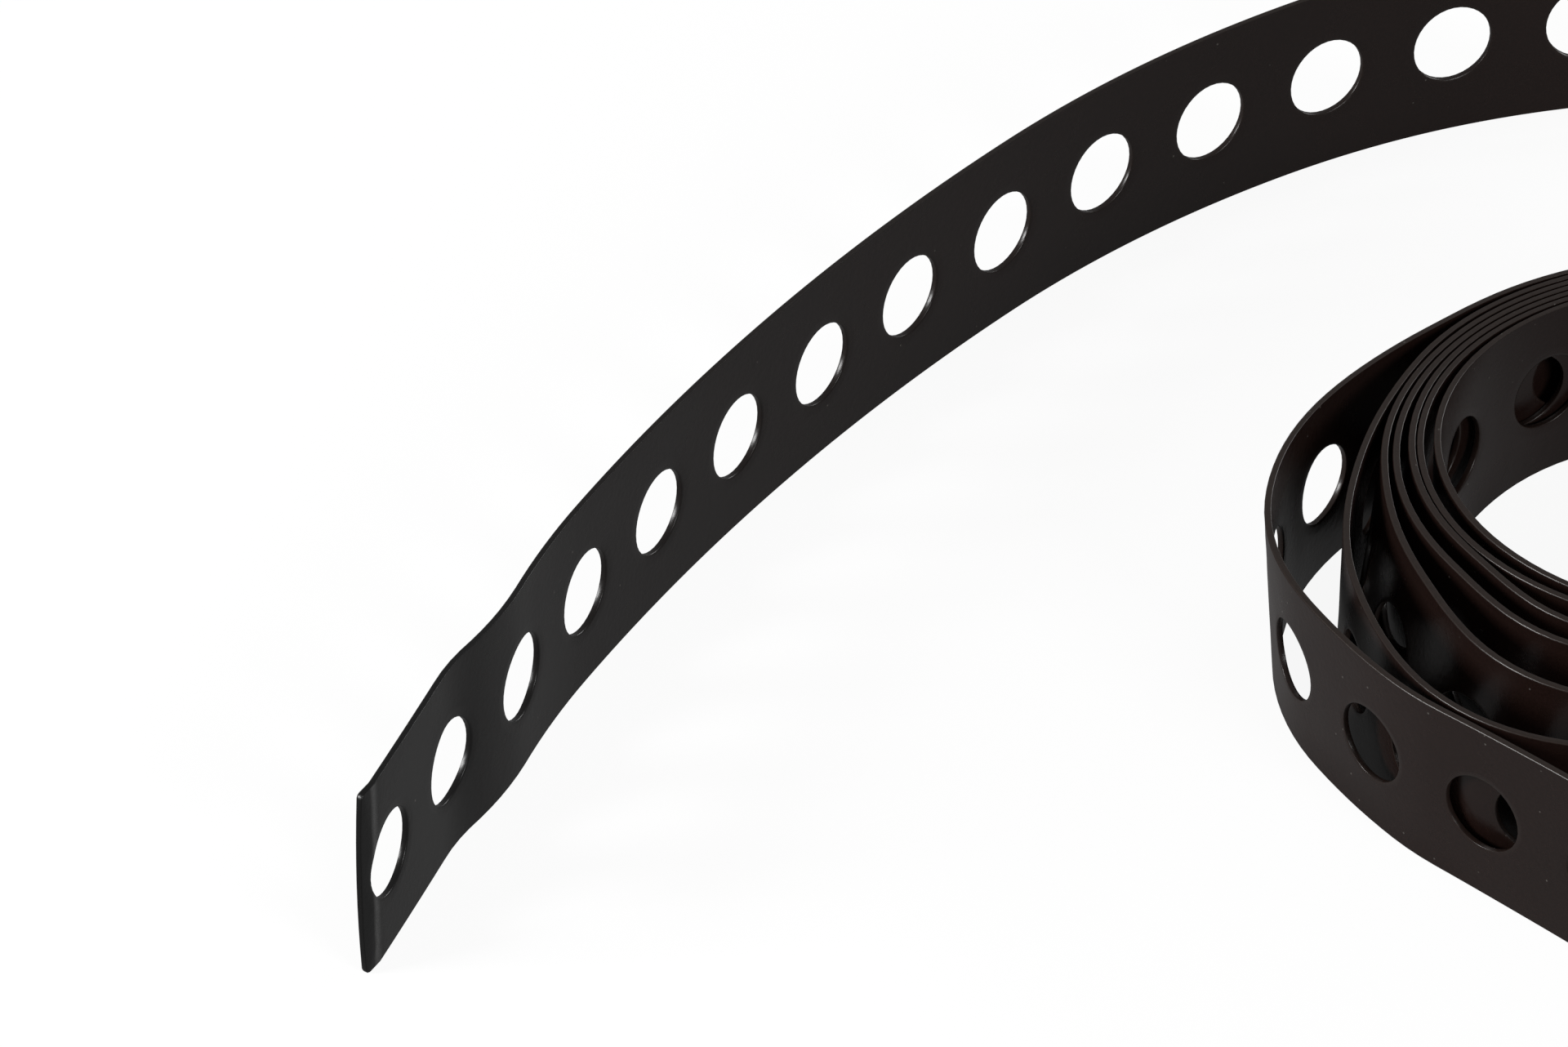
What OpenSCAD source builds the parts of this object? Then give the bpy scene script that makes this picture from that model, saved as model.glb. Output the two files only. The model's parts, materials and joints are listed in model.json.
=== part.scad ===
// Loose roll of perforated steel strap with a long free tail.
// The strap is one bent piece. Its centreline is a chain of tangent arcs from the free end
// of the tail inwards, and the strap follows it one hole pitch at a time: each length of
// one pitch is a bent strip with its hole drilled square through the middle.
// The roll stands on its edge: its axis is Z, and the origin is on that axis at floor level.

/* [Strap] */
// Width of the strap, which is the height of the roll
strap_w = 17; // [12:0.5:30]
// Thickness of the coated strap
strap_t = 0.55; // [0.4:0.05:0.8]
// Radius of the corners of the cut ends
corner_r = 0.8; // [0.3:0.1:1.5]

/* [Holes] */
// Diameter of the round holes
hole_d = 7.1; // [4:0.1:9]
// Distance between hole centres along the strap
hole_pitch = 12; // [10:0.5:30]
// Distance from the cut end to the first hole's centre
end_margin = 5; // [5:0.1:12]

/* [Roll] */
// Radius of the roll's eye, inside the innermost turn
eye_r = 22.05; // [18:0.05:30]
// Clearance between turns that lie on each other
wind_gap = 0.1; // [0.09:0.01:0.5]
// Widest gap that opens between two loose turns
slack_w = 6.2; // [2:0.1:8]

/* [Tail] */
// Distance of the free end to the left of the roll's axis
tail_end_left = 105.3; // [100:0.1:110]
// Distance of the free end in front of the roll's axis
tail_end_front = 46.4; // [42:0.1:50]
// Reference radius for the bends of the tail
tail_r = 100; // [95:0.5:105]

/* [Hidden] */
$fn = 96;

// Overrun of every cutter past the face it cuts
over = 0.3;
// Length of the flats that make up a bent stretch
facet_len = 2.4;
// Largest radius of an arc, for a stretch that is all but straight
flat_r = 3000;

// Direction of the back of the roll, where all turns lie on each other
back_angle = 90;
// Direction in which the strap ends inside the roll, so that it is 1.5 m long
inner_angle = -17;
// Number of the outermost turn, and the direction in which the tail leaves it
outer_turn = 6;
leave_angle = 235;
// Widest angle between the stations of a turn
station_step = 15;

// How each turn stands off the one inside it, from the second turn outwards: the widest
// gap as a share of slack_w, its direction, and the angle to either side where it closes
slack_shares = [
    [0.16, 219, 110],
    [0.29, 242, 30],
    [0.32, 252, 111],
    [0.85, 258, 76],
    [1.01, 233, 79],
    [0.78, 189, 55]
];

// Bends of the tail, from the free end inwards: the radius as a share of tail_r, and the
// angle turned, which is positive to the right
tail_heading = 55;
tail_bend_shares = [
    [0.08, -14.5],
    [8.00, -1],
    [0.20, 13.5],
    [0.36, -14],
    [0.84, 7.5],
    [2.35, 15],
    [1.12, 16],
    [0.80, 7],
    [0.71, 18],
    [0.606, 90],
    [0.675, 70],
    [0.51, 30]
];

turn_pitch = strap_t + wind_gap;
hole_r = hole_d / 2;
tail_end = [-tail_end_left, -tail_end_front];

function unit(a) = [cos(a), sin(a)];
function cross2(a, b) = a[0] * b[1] - a[1] * b[0];
function sum(v, i = 0) = i < len(v) ? v[i] + sum(v, i + 1) : 0;

// The roll in polar form: the centreline's distance from the axis at a winding angle,
// which grows from the inner end outwards
function turn_of(u) = floor((u - back_angle) / 360);
function lobe(a, half) = abs(a) < half ? (1 + cos(180 * a / half)) / 2 : 0;
function slack(turn, a) = slack_w * sum([
    for (k = [0 : 1 : turn - 1])
        slack_shares[k][0] * lobe(a - slack_shares[k][1], slack_shares[k][2])
]);
function roll_radius(u) = eye_r + strap_t / 2 + turn_pitch * (u - back_angle) / 360
    + slack(turn_of(u), u - 360 * turn_of(u));
function roll_point(u) = roll_radius(u) * unit(u);
function heading_of(v) = atan2(v[1], v[0]);
function roll_heading(u) = heading_of(roll_point(u - 1) - roll_point(u + 1));

// An arc is [start point, heading, radius, angle turned to the right]
function side(arc) = sign(arc[3]);
function arc_len(arc) = arc[2] * abs(arc[3]) * PI / 180;
function arc_pose(arc, turned) = [
    arc[0] + arc[2] * (unit(arc[1] - 90 * side(arc)) + unit(arc[1] + 90 * side(arc) - turned)),
    arc[1] - turned
];
function arc_end(arc) = arc_pose(arc, arc[3]);
function arc_at(arc, s) = arc_pose(arc, side(arc) * s / arc[2] * 180 / PI);

// The arc that starts at a pose, which is [point, heading], and passes through a point
function arc_to(pose, q) = let (
        chord = q - pose[0],
        half = asin(-cross2(unit(pose[1]), chord) / norm(chord)),
        least = asin(norm(chord) / 2 / flat_r),
        turned = 2 * max(abs(half), least) * (half < 0 ? -1 : 1)
    ) [pose[0], pose[1], norm(chord) / 2 / sin(abs(turned) / 2), turned];

// Two tangent arcs from one pose to another
function two_arcs(a, b) = let (
        ta = unit(a[1]),
        tb = unit(b[1]),
        v = b[0] - a[0],
        reach = v * (ta + tb),
        d = v * v / (reach + sqrt(reach * reach + 2 * (1 - ta * tb) * (v * v))),
        first = arc_to(a, (a[0] + b[0] + d * (ta - tb)) / 2)
    ) [first, arc_to(arc_end(first), b[0])];

// The whole centreline
leave_winding = leave_angle + 360 * outer_turn;
roll_steps = ceil((leave_winding - inner_angle) / station_step);
tail_arcs = [
    for (
        i = 0, pose = [tail_end, tail_heading];
        i < len(tail_bend_shares);
        pose = arc_end([pose[0], pose[1], tail_r * tail_bend_shares[i][0], tail_bend_shares[i][1]]),
        i = i + 1
    ) [pose[0], pose[1], tail_r * tail_bend_shares[i][0], tail_bend_shares[i][1]]
];
roll_poses = [
    for (i = [0 : roll_steps])
        let (u = leave_winding + (inner_angle - leave_winding) * i / roll_steps)
            [roll_point(u), roll_heading(u)]
];
poses = concat([arc_end(tail_arcs[len(tail_arcs) - 1])], roll_poses);
arcs = concat(tail_arcs, [for (i = [1 : len(poses) - 1]) each two_arcs(poses[i - 1], poses[i])]);
starts = [for (i = 0, s = 0; i <= len(arcs); s = s + (i < len(arcs) ? arc_len(arcs[i]) : 0), i = i + 1) s];
strap_len = starts[len(arcs)];
function arc_of(s, i = 0) = i == len(arcs) - 1 || s < starts[i + 1] ? i : arc_of(s, i + 1);
function pose_at(s) = let (i = arc_of(s)) arc_at(arcs[i], s - starts[i]);

// The holes, by their distance from the free end
hole_count = 1 + floor((strap_len - 2 * end_margin) / hole_pitch);
function hole_s(i) = end_margin + hole_pitch * i;
hole_poses = [for (i = [0 : hole_count - 1]) pose_at(hole_s(i))];

// The pose that leads from the inner end back into the strap
inner_end = pose_at(strap_len) + [[0, 0], 180];

// One stretch of the strap from one distance along it to another, as a bent strip
module stretch(from, to) {
    steps = max(1, ceil((to - from) / facet_len));
    line = [for (i = [0 : steps]) pose_at(from + (to - from) * i / steps)];
    linear_extrude(strap_w)
        polygon(concat(
            [for (pose = line) pose[0] + strap_t / 2 * unit(pose[1] + 90)],
            [for (i = [steps : -1 : 0]) line[i][0] - strap_t / 2 * unit(line[i][1] + 90)]
        ));
}

module hole(pose) {
    depth = strap_t + 2 * over + hole_r * hole_r / eye_r;
    translate([pose[0][0], pose[0][1], strap_w / 2]) rotate(pose[1]) rotate([90, 0, 0])
        cylinder(r = hole_r, h = depth, center = true);
}

// What rounding takes off the two corners of an end, given the pose that leads into the strap
module end_corners(pose) {
    depth = strap_t + 2 * over;
    for (upper = [0, 1])
        translate([pose[0][0], pose[0][1], upper * strap_w]) rotate(pose[1]) mirror([0, 0, upper])
            difference() {
                translate([-over, -depth / 2, -over])
                    cube([corner_r + over, depth, corner_r + over]);
                translate([corner_r, 0, corner_r]) rotate([90, 0, 0])
                    cylinder(r = corner_r, h = depth + 2 * over, center = true);
            }
}

module strap() {
    color([0.10, 0.09, 0.09])
        for (i = [0 : hole_count - 1])
            difference() {
                stretch(i == 0 ? 0 : hole_s(i) - hole_pitch / 2,
                    i == hole_count - 1 ? strap_len : hole_s(i) + hole_pitch / 2);
                hole(hole_poses[i]);
                if (i == 0) end_corners(pose_at(0));
                if (i == hole_count - 1) end_corners(inner_end);
            }
}

strap();
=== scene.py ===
"""Loose roll of perforated steel strap with a black satin coating, on a plain white floor."""

import json
import math

import bmesh
import bpy
import numpy as np
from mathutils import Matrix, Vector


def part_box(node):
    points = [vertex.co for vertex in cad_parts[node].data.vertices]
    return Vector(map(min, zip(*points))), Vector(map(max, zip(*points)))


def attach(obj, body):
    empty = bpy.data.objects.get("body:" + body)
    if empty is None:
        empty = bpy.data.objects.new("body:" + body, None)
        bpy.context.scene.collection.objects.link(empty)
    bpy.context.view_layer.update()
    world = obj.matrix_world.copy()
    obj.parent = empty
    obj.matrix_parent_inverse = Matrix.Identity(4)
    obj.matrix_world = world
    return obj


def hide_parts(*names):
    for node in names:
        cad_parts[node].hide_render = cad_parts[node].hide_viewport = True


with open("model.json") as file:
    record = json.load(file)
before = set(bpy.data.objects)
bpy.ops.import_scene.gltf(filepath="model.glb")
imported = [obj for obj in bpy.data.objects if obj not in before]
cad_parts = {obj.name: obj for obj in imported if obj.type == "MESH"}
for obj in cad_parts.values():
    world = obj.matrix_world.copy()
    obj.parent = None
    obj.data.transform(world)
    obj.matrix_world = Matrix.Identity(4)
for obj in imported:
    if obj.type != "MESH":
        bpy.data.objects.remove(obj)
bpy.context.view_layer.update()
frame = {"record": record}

MM = 0.001

# Camera, in millimetres and degrees, and the start of its view in metres
CAMERA_AT = (-73.5, -649.25, 481.2)
CAMERA_DOWN = 36.05
CAMERA_LENS = 234.54
SENSOR_W = 36
CLIP_START = 0.01

# Driving sizes of the strap, in millimetres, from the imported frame
mounts = {m["name"]: m for m in frame["record"]["mounts"]}
box_low, box_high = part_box("strap")
STRAP_W = (box_high.z - box_low.z) / MM
HOLE_R = mounts["hole_1"]["dims"]["r_mm"]
STRAP_T = mounts["hole_1"]["dims"]["length_mm"]

# The other sizes that the strap's source sets, in millimetres and degrees
HOLE_PITCH = 12
END_MARGIN = 5
EYE_R = 22.05
WIND_GAP = 0.1
SLACK_W = 6.2
TAIL_R = 100
FLAT_R = 3000
BACK_ANGLE = 90
INNER_ANGLE = -17
OUTER_TURN = 6
LEAVE_ANGLE = 235
STATION_STEP = 15
SLACK_SHARES = [
    (0.16, 219, 110),
    (0.29, 242, 30),
    (0.32, 252, 111),
    (0.85, 258, 76),
    (1.01, 233, 79),
    (0.78, 189, 55),
]
TAIL_HEADING = 55

# Bends of the tail, from the free end inwards: the radius as a share of TAIL_R, and the angle
# turned. Where the source starts with one soft bend, these start with a straight strip and a
# sharp crease, so the free end lies 0.2 mm beside the source's.
TAIL_END = (-105.48, -46.3)
TAIL_BEND_SHARES = [
    (30, -0.03),
    (0.015, -14.47),
    (8.00, -1),
    (0.20, 13.5),
    (0.36, -14),
    (0.84, 7.5),
    (2.35, 15),
    (1.12, 16),
    (0.80, 7),
    (0.71, 18),
    (0.606, 90),
    (0.675, 70),
    (0.51, 30),
]

# Fine relief of the sheet, in millimetres: slit edges that are round on the outer side and
# crisp on the inner side, the round mouth and the shallow dish on the punched side of a
# hole, and the crisp edge on its far side
EDGE_R = 0.18
BURR_R = 0.06
MOUTH_R = 0.10
DISH_DEPTH = 0.05
DISH_W = 1.0
FAR_EDGE_R = 0.05

# Cut ends, in millimetres: their corners, how far their middle stands out, and how much
# shorter than in the source the free end is
CORNER_R = 0.4
END_BOW = 0.35
END_TRIM = 0.5

# The turns lean forwards by this much over their height, and the tail stands upright: the
# lean comes in between these distances from the free end, in millimetres
LEAN = 2.3
LEAN_FROM = 230
LEAN_FULL = 380

# How far the two edges of a loose turn stand out besides: the turn, the direction in
# degrees, and the shifts of the top edge and of the bottom edge in millimetres
EDGE_SHIFTS = [
    (0, 110, 0, 0), (0, 132, 0, -0.4), (0, 146, 0, -0.9), (0, 165, 0, -0.7), (0, 190, 0, 0),

    (2, 155, 0, 0), (2, 165, 0, 0.3), (2, 172, 0, 0.65), (2, 178, 0, 1.0), (2, 185, 0, 1.4),
    (2, 200, 0, 1.5), (2, 220, 0, 1.3), (2, 240, 0, 0.6), (2, 260, 0, 0),

    (3, 155, 0, 0), (3, 165, 0, 0.3), (3, 172, 0, 0.65), (3, 178, 0, 1.1), (3, 184, 0, 1.6),
    (3, 192, 0, 2.0), (3, 200, 0, 2.4), (3, 215, 0, 2.4), (3, 235, 0, 1.6), (3, 255, 0, 0.8),
    (3, 275, 0, 0),

    (4, 155, 0, 0), (4, 165, 0.1, 0.35), (4, 172, 0.2, 0.7), (4, 178, 0.25, 1.15),
    (4, 184, 0.3, 1.7), (4, 190, 0.3, 2.25), (4, 197, 0.25, 3.0), (4, 205, 0.15, 3.6),
    (4, 220, 0, 3.5), (4, 240, 0, 2.4), (4, 260, 0, 1.0), (4, 280, 0, 0),

    (5, 120, 0, 0), (5, 150, 0.15, 0.2), (5, 165, 0, 0.5), (5, 173, -0.2, 0.4),
    (5, 182, -0.4, -0.2), (5, 200, -0.35, -0.4), (5, 212, -0.3, -0.5), (5, 225, -0.1, -0.9),
    (5, 235, 0, -0.5), (5, 250, 0, -0.1), (5, 270, 0, 0),

    (6, 118, 0, 0), (6, 131, 0.25, 0), (6, 146, 0.6, 0), (6, 161, 0.7, -0.15),
    (6, 178, 0.55, -0.45), (6, 191, 0.75, -0.45), (6, 201, 0.8, -0.5), (6, 211, 0.3, -0.5),
    (6, 225, 0.1, -0.85), (6, 235, 0.1, -0.5), (6, 245, 0.1, -0.2), (6, 270, 0, 0),
]

# How far along the strap, in millimetres, the shifts are smoothed
SHIFT_BLUR = 4

# Segments up a side of the cell around one hole, and along its upper and lower edge
SIDE_SEGS = 10
EDGE_SEGS = 8

# Rows of a cell: across the dish, as shares of its width, and round the hole's mouth, the
# far edge and the strap's free edges, in degrees
DISH_ROWS = (1, 0.72, 0.44, 0.2)
ROUND_ROWS = (30, 60, 90)
FAR_EDGE_ROWS = (0, 45, 90)

# How far the edges of a hole take the tone and gloss of a rim
HOLE_RIM = 0.5

# Distance at which the points of neighbouring cells become one, in metres
MERGE_DIST = 1e-6
EVEN_NORMALS_WEIGHT = 50

# Base colours: of the free end, of the rest of the strap, which drifts between two tones, of
# the rims at the free end and on the rest, and of a dust speck
TAIL_TONE = (0.0064, 0.0058, 0.0056, 1)
ROLL_TONES = [(0.35, (0.0150, 0.0076, 0.0060, 1)), (0.65, (0.0185, 0.0090, 0.0072, 1))]
TAIL_RIM_TONE = (0.0030, 0.0028, 0.0028, 1)
ROLL_RIM_TONE = (0.026, 0.017, 0.0135, 1)
SPECK_TONE = (0.11, 0.10, 0.09, 1)

# Where along the strap, in metres, the tail's tones pass into the roll's
TONE_CHANGE = (0.02, 0.16)

# The crease near the free end, with painted shade on the strip between it and the free end
# and a painted highlight on the crease: the stretch in metres that its shades run over, the
# shades of the strip, the crease and the rest, and how strongly they count
CREASE_REACH = (0.0, 0.005)
CREASE_PAINTED_SHADE_AND_HIGHLIGHT = [(0.28, (0.36, 0.36, 0.36, 1)), (0.40, (1, 1, 1, 1)), (0.58, (0.5, 0.5, 0.5, 1))]
CREASE_STRENGTH = 0.055

# Dust specks: cells to the metre, the share of a cell over which a speck fades in, the share
# of cells without one on the tail and in the roll, and where along the strap, in metres, the
# first of these passes into the second
SPECK_SCALE = 900.0
SPECK_EDGE = (0.10, 0.06)
SPECK_NONE = (0.93, 0.78)
SPECK_CHANGE = (0.2, 0.45)

# Noise, as scale and detail: slow drift of the colour, its fine grain, mottled gloss, and
# orange peel
DRIFT = (28.0, 3.0)
GRAIN = (4500.0, 1.0)
MOTTLE = (120.0, 4.0)
PEEL = (1800.0, 2.0)

# The part of a noise's range that is used, and what it is spread over
NOISE_RANGE = (0.3, 0.7)
GRAIN_LEVELS = (0.88, 1.12)
ROUGHNESS = (0.24, 0.31)
RIM_ROUGHNESS = 0.33
SPECULAR_LEVEL = 0.5
PEEL_STRENGTH = 0.5
PEEL_DEPTH = 0.00003

# Floor in metres: its size, and how far it lies under the strap
FLOOR_SIZE = 6.0
FLOOR_DROP = 0.00002

# Floor as light falls on it; as the camera sees it, which is its lit colour under a share of
# even white, so that its shadow fades; and in reflections, lit and even in the same way, with
# the even part lowered as painted shade on the floor between the turns
FLOOR_COLOUR = (0.60, 0.60, 0.60, 1)
FLOOR_SEEN_COLOUR = (0.95, 0.95, 0.95, 1)
FLOOR_WHITE = 1.08
SHADOW_FADE = 0.85
FLOOR_COLOUR_IN_GLOSS = (0.25, 0.25, 0.25, 1)
FLOOR_IN_GLOSS = 0.21
FLOOR_PAINTED_SHADE_BETWEEN_TURNS = 0.09
FLOOR_EVENNESS = 0.7

# Where the painted shade on the floor between the turns ends: towards the eye, by distance
# from the roll's axis, and outwards, by distance from the middle of the outermost turn's
# outline, in metres
EYE_FADE = (0.026, 0.019)
TURNS_MIDDLE = (-0.008, -0.011, 0)
TURNS_FADE = (0.0245, 0.0285)

# World: its level for the camera, in reflections and as light
SKY_SEEN = 1.0
SKY_IN_GLOSS = 0.2
SKY_LIGHT = 0.12

# Soft lamps: place in metres, side in metres and power in watts
LAMPS = {
    "key": ((-0.72, -0.19, 0.30), 0.25, 4.0),
    "fill": ((0.45, -0.68, 0.39), 0.3, 3.0),
    "back": ((0.62, 0.66, 0.30), 0.4, 2.6),
}


def unit(a):
    return np.array([math.cos(math.radians(a)), math.sin(math.radians(a))])


def cross2(a, b):
    return a[0] * b[1] - a[1] * b[0]


def lobe(a, half):
    return (1 + math.cos(math.pi * a / half)) / 2 if abs(a) < half else 0


def roll_radius(u):
    """Distance of the centreline from the roll's axis at a winding angle."""
    turn = math.floor((u - BACK_ANGLE) / 360)
    inside = SLACK_SHARES[:max(turn, 0)]
    slack = sum(share * lobe(u - 360 * turn - at, half) for share, at, half in inside)
    turns_out = (u - BACK_ANGLE) / 360
    return EYE_R + STRAP_T / 2 + (STRAP_T + WIND_GAP) * turns_out + SLACK_W * slack


def roll_point(u):
    return roll_radius(u) * unit(u)


def roll_heading(u):
    step = roll_point(u - 1) - roll_point(u + 1)
    return math.degrees(math.atan2(step[1], step[0]))


def arc_pose(arc, turned):
    """Point and heading on an arc, which is (start, heading, radius, angle to the right)."""
    start, heading, radius, angle = arc
    side = math.copysign(1, angle)
    point = start + radius * (unit(heading - 90 * side) + unit(heading + 90 * side - turned))
    return point, heading - turned


def arc_to(pose, point):
    """The arc that starts at a pose and passes through a point."""
    chord = point - pose[0]
    reach = np.linalg.norm(chord)
    half = math.degrees(math.asin(-cross2(unit(pose[1]), chord) / reach))
    least = math.degrees(math.asin(reach / 2 / FLAT_R))
    angle = math.copysign(2 * max(abs(half), least), half)
    return pose[0], pose[1], reach / 2 / math.sin(math.radians(abs(angle) / 2)), angle


def two_arcs(a, b):
    """Two tangent arcs from one pose to another."""
    ta, tb, v = unit(a[1]), unit(b[1]), b[0] - a[0]
    reach = v @ (ta + tb)
    d = v @ v / (reach + math.sqrt(reach * reach + 2 * (1 - ta @ tb) * (v @ v)))
    first = arc_to(a, (a[0] + b[0] + d * (ta - tb)) / 2)
    return [first, arc_to(arc_pose(first, first[3]), b[0])]


def centreline():
    """The strap's centreline as arcs, and the distance along it at which each one starts."""
    arcs = []
    pose = (np.array(TAIL_END), TAIL_HEADING)
    for share, angle in TAIL_BEND_SHARES:
        arcs.append((pose[0], pose[1], TAIL_R * share, angle))
        pose = arc_pose(arcs[-1], angle)
    outer = LEAVE_ANGLE + 360 * OUTER_TURN
    steps = math.ceil((outer - INNER_ANGLE) / STATION_STEP)
    for i in range(steps + 1):
        u = outer + (INNER_ANGLE - outer) * i / steps
        station = (roll_point(u), roll_heading(u))
        arcs += two_arcs(pose, station)
        pose = station
    lengths = [arc[2] * math.radians(abs(arc[3])) for arc in arcs]
    return arcs, np.concatenate([[0], np.cumsum(lengths)])


ARCS, STARTS = centreline()
STRAP_LEN = STARTS[-1]
HOLE_COUNT = 1 + math.floor((STRAP_LEN - 2 * END_MARGIN) / HOLE_PITCH)


def poses_at(s):
    """Points and headings, in radians, at distances along the strap."""
    index = np.clip(np.searchsorted(STARTS, s, side="right") - 1, 0, len(ARCS) - 1)
    start = np.array([arc[0] for arc in ARCS])[index]
    heading = np.radians([arc[1] for arc in ARCS])[index]
    radius = np.array([arc[2] for arc in ARCS])[index]
    side = np.sign([arc[3] for arc in ARCS])[index]
    turned = side * (s - STARTS[index]) / radius
    a = heading - math.pi / 2 * side
    b = heading + math.pi / 2 * side - turned
    x = start[:, 0] + radius * (np.cos(a) + np.cos(b))
    y = start[:, 1] + radius * (np.sin(a) + np.sin(b))
    return x, y, heading - turned


def edge_shifts():
    """The shifts of the two edges along the whole strap, as distances, top and bottom shifts."""
    s = np.arange(0, STRAP_LEN, 1.0)
    x, y, heading = poses_at(s)
    winding = np.degrees(np.unwrap(np.arctan2(y, x)[::-1]))[::-1]
    winding += 360 * round((INNER_ANGLE - winding[-1]) / 360)
    winding[s < LEAN_FROM] = winding.max()
    at = [360 * row[0] + row[1] for row in EDGE_SHIFTS]
    reach = np.arange(-3 * SHIFT_BLUR, 3 * SHIFT_BLUR + 1)
    blur = np.exp(-0.5 * (reach / SHIFT_BLUR) ** 2)
    blur /= blur.sum()
    rows = [np.interp(winding, at, [row[i] for row in EDGE_SHIFTS]) for i in (2, 3)]
    return s, [np.convolve(row, blur, "same") for row in rows]


SHIFT_S, SHIFTS = edge_shifts()


def bend(flat):
    """Carry points (along, up from mid width, left from mid sheet) onto the bent strap."""
    x, y, heading = poses_at(flat[:, 0])
    z = flat[:, 1] + STRAP_W / 2
    fade = np.clip((flat[:, 0] - LEAN_FROM) / (LEAN_FULL - LEAN_FROM), 0, 1)
    fade = fade * fade * (3 - 2 * fade)
    up = flat[:, 1] / STRAP_W
    top, bottom = [np.interp(flat[:, 0], SHIFT_S, row) for row in SHIFTS]
    left = flat[:, 2] + top * (0.5 + up) + bottom * (0.5 - up)
    lean = -LEAN * up * fade
    return np.stack([x - left * np.sin(heading), y + left * np.cos(heading) + lean, z], -1)


def outline(low, high, cap_low, cap_high):
    """Outline of one cell around its hole, as points and outward normals, which are zero where
    the next cell joins. It starts at the lower right and runs up, left, down and right."""
    half = STRAP_W / 2
    levels = np.linspace(EDGE_R - half, half - EDGE_R, SIDE_SEGS + 1)
    diagonal = math.sqrt(0.5)
    cut = CORNER_R * (1 - diagonal)

    def side(x, sign, cap):
        """Points of one side, from the lower corner up."""
        if not cap:
            points = [(x, z) for z in levels]
            points[0], points[-1] = (x, -half), (x, half)
            normals = [(0, -1)] + [(0, 0)] * (SIDE_SEGS - 1) + [(0, 1)]
            return points, normals
        inner = np.linspace(-half + CORNER_R, half - CORNER_R, SIDE_SEGS - 1)
        points = [(x + sign * (END_BOW * (1 - (z / half) ** 2)), z) for z in inner]
        points = [(x - sign * cut, -half + cut)] + points + [(x - sign * cut, half - cut)]
        lower, upper = (sign * diagonal, -diagonal), (sign * diagonal, diagonal)
        normals = [lower] + [(sign, 0)] * (SIDE_SEGS - 1) + [upper]
        return points, normals

    right, right_normals = side(high, 1, cap_high)
    left, left_normals = side(low, -1, cap_low)
    a = high - (CORNER_R if cap_high else 0)
    b = low + (CORNER_R if cap_low else 0)
    inner = EDGE_SEGS - cap_high - cap_low
    run = list(np.linspace(a, b, inner + 1))
    if not cap_high:
        run = run[1:]
    if not cap_low:
        run = run[:-1]
    top = [(x, half) for x in run]
    bottom = [(x, -half) for x in reversed(run)]
    points = right + top + left[::-1] + bottom
    normals = right_normals + [(0, 1)] * len(top) + left_normals[::-1] + [(0, -1)] * len(bottom)
    return np.array(points, float), np.array(normals, float)


def cell(low, high, cap_low=False, cap_high=False):
    """The sheet around one hole, flat, as points (along, up, left), their rim share and quads.
    The punched side faces right, which is the inner side of the roll."""
    points, normals = outline(low, high, cap_low, cap_high)
    count = len(points)
    angle = np.radians(np.arange(count) * 360 / count - 180 * SIDE_SEGS / count)
    circle = np.stack([np.cos(angle), np.sin(angle)], -1)
    inset = points - BURR_R * normals
    outset = points - EDGE_R * normals
    half = STRAP_T / 2
    rows, rims = [], []

    def add(plan, depth, rim):
        rows.append(np.column_stack([plan, np.full(count, depth)]))
        rims.append(np.full(count, rim))

    def dish(r):
        x = min(max((r - HOLE_R) / DISH_W, 0), 1)
        return DISH_DEPTH * (1 - x * x * (3 - 2 * x))

    last = HOLE_R + DISH_W
    add(inset, -half, 0)
    add((inset + last * circle) / 2, -half, 0)
    for share in DISH_ROWS:
        r = HOLE_R + MOUTH_R + (DISH_W - MOUTH_R) * share
        add(r * circle, dish(r) - half, 0)
    for turn in ROUND_ROWS:
        a = math.radians(turn)
        r = HOLE_R + MOUTH_R * (1 - math.sin(a))
        add(r * circle, dish(r) - half + MOUTH_R * (1 - math.cos(a)), HOLE_RIM)
    for turn in FAR_EDGE_ROWS:
        a = math.radians(turn)
        r = HOLE_R + FAR_EDGE_R * (1 - math.cos(a))
        add(r * circle, half - FAR_EDGE_R * (1 - math.sin(a)), HOLE_RIM)
    add((HOLE_R + 0.5 * DISH_W) * circle, half, 0)
    add((outset + last * circle) / 2, half, 0)
    add(outset, half, 0)
    quads = []
    for j in range(len(rows) - 1):
        for k in range(count):
            n = (k + 1) % count
            quads.append((j * count + k, (j + 1) * count + k, (j + 1) * count + n, j * count + n))

    # The rim along the free sides, from the left face round to the right face
    face_left, face_right = (len(rows) - 1) * count, 0
    first = len(rows)
    for turn in ROUND_ROWS:
        a = math.radians(turn)
        add(outset + EDGE_R * math.sin(a) * normals, half - EDGE_R * (1 - math.cos(a)), 1)
    for turn in reversed(ROUND_ROWS):
        a = math.radians(turn)
        add(inset + BURR_R * math.sin(a) * normals, BURR_R * (1 - math.cos(a)) - half, 1)
    free = np.abs(normals).sum(1) > 0
    round_rows = [(first + j) * count for j in range(2 * len(ROUND_ROWS))]
    chain = [face_left] + round_rows + [face_right]
    for k in range(count):
        n = (k + 1) % count
        if not (free[k] and free[n]):
            continue
        for a, b in zip(chain[:-1], chain[1:]):
            quads.append((a + k, b + k, b + n, a + n))
    return np.concatenate(rows), np.concatenate(rims), quads


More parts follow.
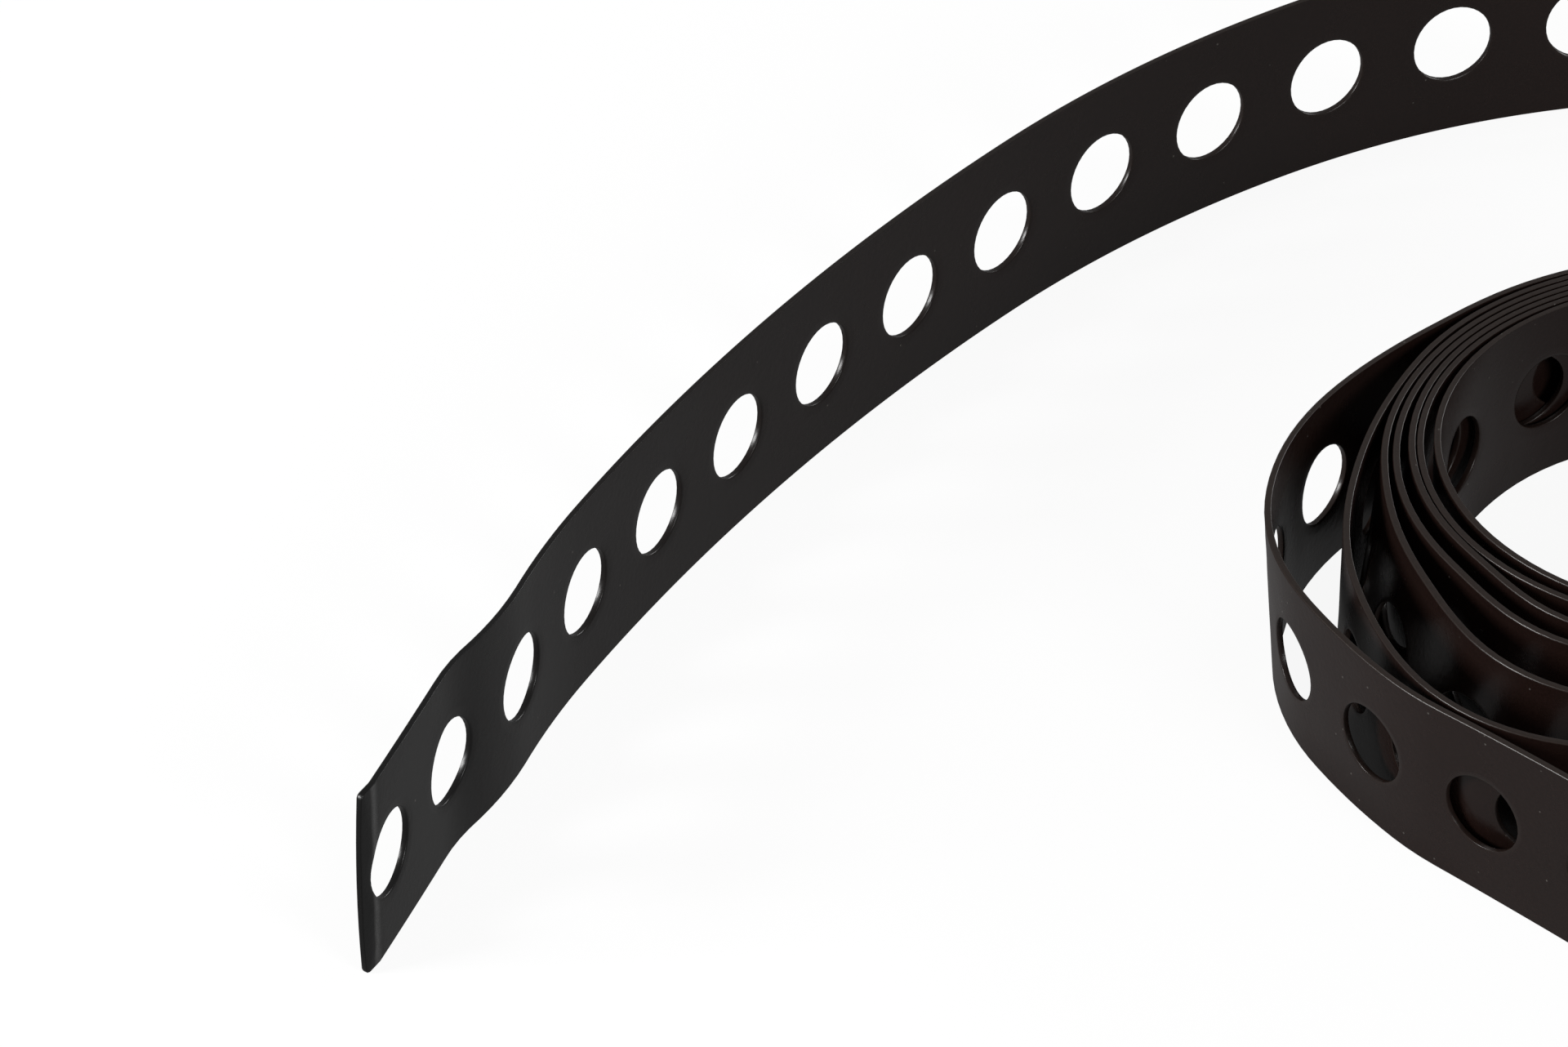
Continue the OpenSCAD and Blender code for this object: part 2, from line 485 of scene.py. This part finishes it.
def make_strap():
    """The whole strap as one mesh, with its rim share and its unrolled place as attributes."""
    flats, rims, faces = [], [], []
    offset = 0
    inner = cell(-HOLE_PITCH / 2, HOLE_PITCH / 2)
    for i in range(HOLE_COUNT):
        s = END_MARGIN + HOLE_PITCH * i
        if i == 0:
            flat, rim, quads = cell(END_TRIM - END_MARGIN, HOLE_PITCH / 2, cap_low=True)
        elif i == HOLE_COUNT - 1:
            flat, rim, quads = cell(-HOLE_PITCH / 2, STRAP_LEN - s, cap_high=True)
        else:
            flat, rim, quads = inner
        flats.append(flat + np.array([s, 0, 0]))
        rims.append(rim)
        faces += [tuple(offset + v for v in quad) for quad in quads]
        offset += len(flat)
    flat = np.concatenate(flats)
    rim = np.concatenate(rims)

    mesh = bpy.data.meshes.new("strap_visual")
    mesh.from_pydata((bend(flat) * MM).tolist(), [], faces)
    rim_data = mesh.attributes.new("rim", "FLOAT", "POINT").data
    rim_data.foreach_set("value", rim)
    unrolled_data = mesh.attributes.new("unrolled", "FLOAT_VECTOR", "POINT").data
    unrolled_data.foreach_set("vector", (flat * MM).ravel())
    bm = bmesh.new()
    bm.from_mesh(mesh)
    loose = [v for v in bm.verts if not v.link_faces]
    bmesh.ops.delete(bm, geom=loose, context="VERTS")
    bmesh.ops.remove_doubles(bm, verts=bm.verts, dist=MERGE_DIST)
    bmesh.ops.recalc_face_normals(bm, faces=bm.faces)
    for face in bm.faces:
        face.smooth = True
    bm.to_mesh(mesh)
    bm.free()
    strap = bpy.data.objects.new("strap_visual", mesh)
    bpy.context.scene.collection.objects.link(strap)
    normals = strap.modifiers.new("even_normals", "WEIGHTED_NORMAL")
    normals.mode = "FACE_AREA"
    normals.weight = EVEN_NORMALS_WEIGHT
    return strap


def new_tree(name):
    """A new material and its empty node tree."""
    material = bpy.data.materials.new(name)
    material.use_nodes = True
    material.node_tree.nodes.clear()
    return material, material.node_tree


def node_of(tree, kind, inputs=None, **settings):
    """A shader node with its properties set. An input takes a link where it is given another
    node's output, and otherwise the value."""
    node = tree.nodes.new(kind)
    for name, value in settings.items():
        setattr(node, name, value)
    for key, value in (inputs or {}).items():
        if isinstance(value, bpy.types.NodeSocket):
            tree.links.new(value, node.inputs[key])
        else:
            node.inputs[key].default_value = value
    return node


def noise(tree, place, scale_and_detail):
    scale, detail = scale_and_detail
    return node_of(tree, "ShaderNodeTexNoise", {
        "Vector": place, "Scale": scale, "Detail": detail}).outputs["Fac"]


def spread(tree, value, used, over=(0.0, 1.0)):
    """A value whose used range is spread over another range."""
    return node_of(tree, "ShaderNodeMapRange", {
        "Value": value, "From Min": used[0], "From Max": used[1],
        "To Min": over[0], "To Max": over[1]}, clamp=True).outputs["Result"]


def ramp(tree, value, stops, interpolation="LINEAR"):
    """A colour ramp through stops of a position and a colour."""
    node = node_of(tree, "ShaderNodeValToRGB", {"Fac": value})
    node.color_ramp.interpolation = interpolation
    elements = node.color_ramp.elements
    for element, (position, colour) in zip(elements, (stops[0], stops[-1])):
        element.position = position
        element.color = colour
    for position, colour in stops[1:-1]:
        elements.new(position).color = colour
    return node.outputs["Color"]


def mixed(tree, factor, a, b, data_type="RGBA", **settings):
    """Two colours or values, mixed by how much of the second counts."""
    return node_of(tree, "ShaderNodeMix", {"Factor": factor, "A": a, "B": b},
                   data_type=data_type, **settings).outputs["Result"]


def layered(tree, factor, below, above):
    """Two shaders, mixed by how much of the one above shows."""
    return node_of(tree, "ShaderNodeMixShader", {"Fac": factor, 1: below, 2: above}).outputs[0]


def coating_material():
    """Satin black coating. Its colour drifts, has a fine grain and turns browner along the
    tail. It has painted shade on the strip at the free end and a painted highlight on the
    crease beside it, rims of their own tone and gloss, orange peel, and dust specks that are
    rarer on the tail."""
    material, tree = new_tree("black_satin_coating")
    place = node_of(tree, "ShaderNodeTexCoord").outputs["Object"]
    rim = node_of(tree, "ShaderNodeAttribute", attribute_name="rim").outputs["Fac"]
    unrolled = node_of(tree, "ShaderNodeAttribute", attribute_name="unrolled").outputs["Vector"]
    along = node_of(tree, "ShaderNodeSeparateXYZ", {"Vector": unrolled}).outputs["X"]

    tone = ramp(tree, noise(tree, place, DRIFT), ROLL_TONES)
    browner = spread(tree, along, TONE_CHANGE)
    face = mixed(tree, browner, TAIL_TONE, tone)
    # Painted shade on the strip between the free end and the crease, and a painted highlight on
    # the crease
    painted_crease_light = ramp(tree, spread(tree, along, CREASE_REACH), CREASE_PAINTED_SHADE_AND_HIGHLIGHT, "EASE")
    face = mixed(tree, CREASE_STRENGTH, face, painted_crease_light, blend_type="LINEAR_LIGHT")
    rim_tone = mixed(tree, browner, TAIL_RIM_TONE, ROLL_RIM_TONE)
    colour = mixed(tree, rim, face, rim_tone)

    cells = node_of(tree, "ShaderNodeTexVoronoi", {"Vector": unrolled, "Scale": SPECK_SCALE})
    small = spread(tree, cells.outputs["Distance"], SPECK_EDGE)
    draw = node_of(tree, "ShaderNodeSeparateColor", {"Color": cells.outputs["Color"]})
    none = spread(tree, along, SPECK_CHANGE, SPECK_NONE)
    few = node_of(tree, "ShaderNodeMath", {
        0: draw.outputs["Red"], 1: none}, operation="GREATER_THAN")
    speck = node_of(tree, "ShaderNodeMath", {0: small, 1: few.outputs[0]}, operation="MULTIPLY")
    colour = mixed(tree, speck.outputs[0], colour, SPECK_TONE)
    grain = spread(tree, noise(tree, place, GRAIN), NOISE_RANGE, GRAIN_LEVELS)
    grained = node_of(tree, "ShaderNodeHueSaturation", {"Color": colour, "Value": grain})

    mottle = spread(tree, noise(tree, place, MOTTLE), NOISE_RANGE, ROUGHNESS)
    roughness = mixed(tree, rim, mottle, RIM_ROUGHNESS, "FLOAT")
    bump = node_of(tree, "ShaderNodeBump", {
        "Height": noise(tree, place, PEEL), "Strength": PEEL_STRENGTH, "Distance": PEEL_DEPTH})
    shader = node_of(tree, "ShaderNodeBsdfPrincipled", {
        "Base Color": grained.outputs["Color"], "Metallic": 0.0, "Roughness": roughness,
        "Specular IOR Level": SPECULAR_LEVEL, "Normal": bump.outputs["Normal"]})
    node_of(tree, "ShaderNodeOutputMaterial", {"Surface": shader.outputs["BSDF"]})
    return material


def make_floor():
    """A plain pale floor, which is not part of the strap. The camera sees it as white with a
    faint shadow, and the strap is lit by it and reflects it at a lower level, with painted
    shade on it between the turns."""
    bpy.ops.mesh.primitive_plane_add(size=FLOOR_SIZE, location=(0, 0, -FLOOR_DROP))
    floor = bpy.context.object
    floor.name = "floor"
    material, tree = new_tree("white_floor")
    path = node_of(tree, "ShaderNodeLightPath")
    place = node_of(tree, "ShaderNodeTexCoord").outputs["Object"]

    def lit(colour):
        return node_of(tree, "ShaderNodeBsdfDiffuse", {"Color": colour}).outputs["BSDF"]

    def even(strength):
        return node_of(tree, "ShaderNodeEmission", {"Strength": strength}).outputs["Emission"]

    # Painted shade: in reflections the floor's even part is lower between the turns
    from_axis = node_of(tree, "ShaderNodeVectorMath", {0: place}, operation="LENGTH")
    from_middle = node_of(tree, "ShaderNodeVectorMath", {
        0: place, 1: TURNS_MIDDLE}, operation="DISTANCE")
    levels = (FLOOR_PAINTED_SHADE_BETWEEN_TURNS, FLOOR_IN_GLOSS)
    level = node_of(tree, "ShaderNodeMath", {
        0: spread(tree, from_axis.outputs["Value"], EYE_FADE, levels),
        1: spread(tree, from_middle.outputs["Value"], TURNS_FADE, levels)}, operation="MAXIMUM")

    seen = layered(tree, SHADOW_FADE, lit(FLOOR_SEEN_COLOUR), even(FLOOR_WHITE))
    mirrored = layered(tree, FLOOR_EVENNESS, lit(FLOOR_COLOUR_IN_GLOSS), even(level.outputs[0]))
    unseen = layered(tree, path.outputs["Is Glossy Ray"], lit(FLOOR_COLOUR), mirrored)
    shader = layered(tree, path.outputs["Is Camera Ray"], unseen, seen)
    node_of(tree, "ShaderNodeOutputMaterial", {"Surface": shader})
    floor.data.materials.append(material)


def make_world():
    """An even white world, with a level of its own for each kind of ray."""
    world = bpy.data.worlds.new("studio")
    world.use_nodes = True
    tree = world.node_tree
    path = node_of(tree, "ShaderNodeLightPath")
    unseen = mixed(tree, path.outputs["Is Glossy Ray"], SKY_LIGHT, SKY_IN_GLOSS, "FLOAT")
    level = mixed(tree, path.outputs["Is Camera Ray"], unseen, SKY_SEEN, "FLOAT")
    shade = tree.nodes["Background"]
    shade.inputs["Color"].default_value = (1, 1, 1, 1)
    tree.links.new(level, shade.inputs["Strength"])
    bpy.context.scene.world = world


def make_lamp(name, at, size, power):
    """A square soft lamp that faces the roll."""
    lamp = bpy.data.lights.new(name, "AREA")
    lamp.size = size
    lamp.energy = power
    holder = bpy.data.objects.new(name, lamp)
    holder.location = at
    holder.rotation_euler = (-holder.location).to_track_quat("-Z", "Y").to_euler()
    bpy.context.scene.collection.objects.link(holder)


def make_camera():
    camera = bpy.data.objects.new("camera", bpy.data.cameras.new("camera"))
    camera.location = [v * MM for v in CAMERA_AT]
    camera.rotation_euler = (math.radians(90 - CAMERA_DOWN), 0, 0)
    camera.data.lens = CAMERA_LENS
    camera.data.sensor_width = SENSOR_W
    camera.data.clip_start = CLIP_START
    bpy.context.scene.collection.objects.link(camera)
    bpy.context.scene.camera = camera


make_camera()
make_world()
make_floor()
for lamp_name, lamp_values in LAMPS.items():
    make_lamp(lamp_name, *lamp_values)

strap = make_strap()
strap.data.materials.append(coating_material())
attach(strap, "root")
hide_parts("strap")

bpy.context.scene.view_settings.view_transform = "Standard"
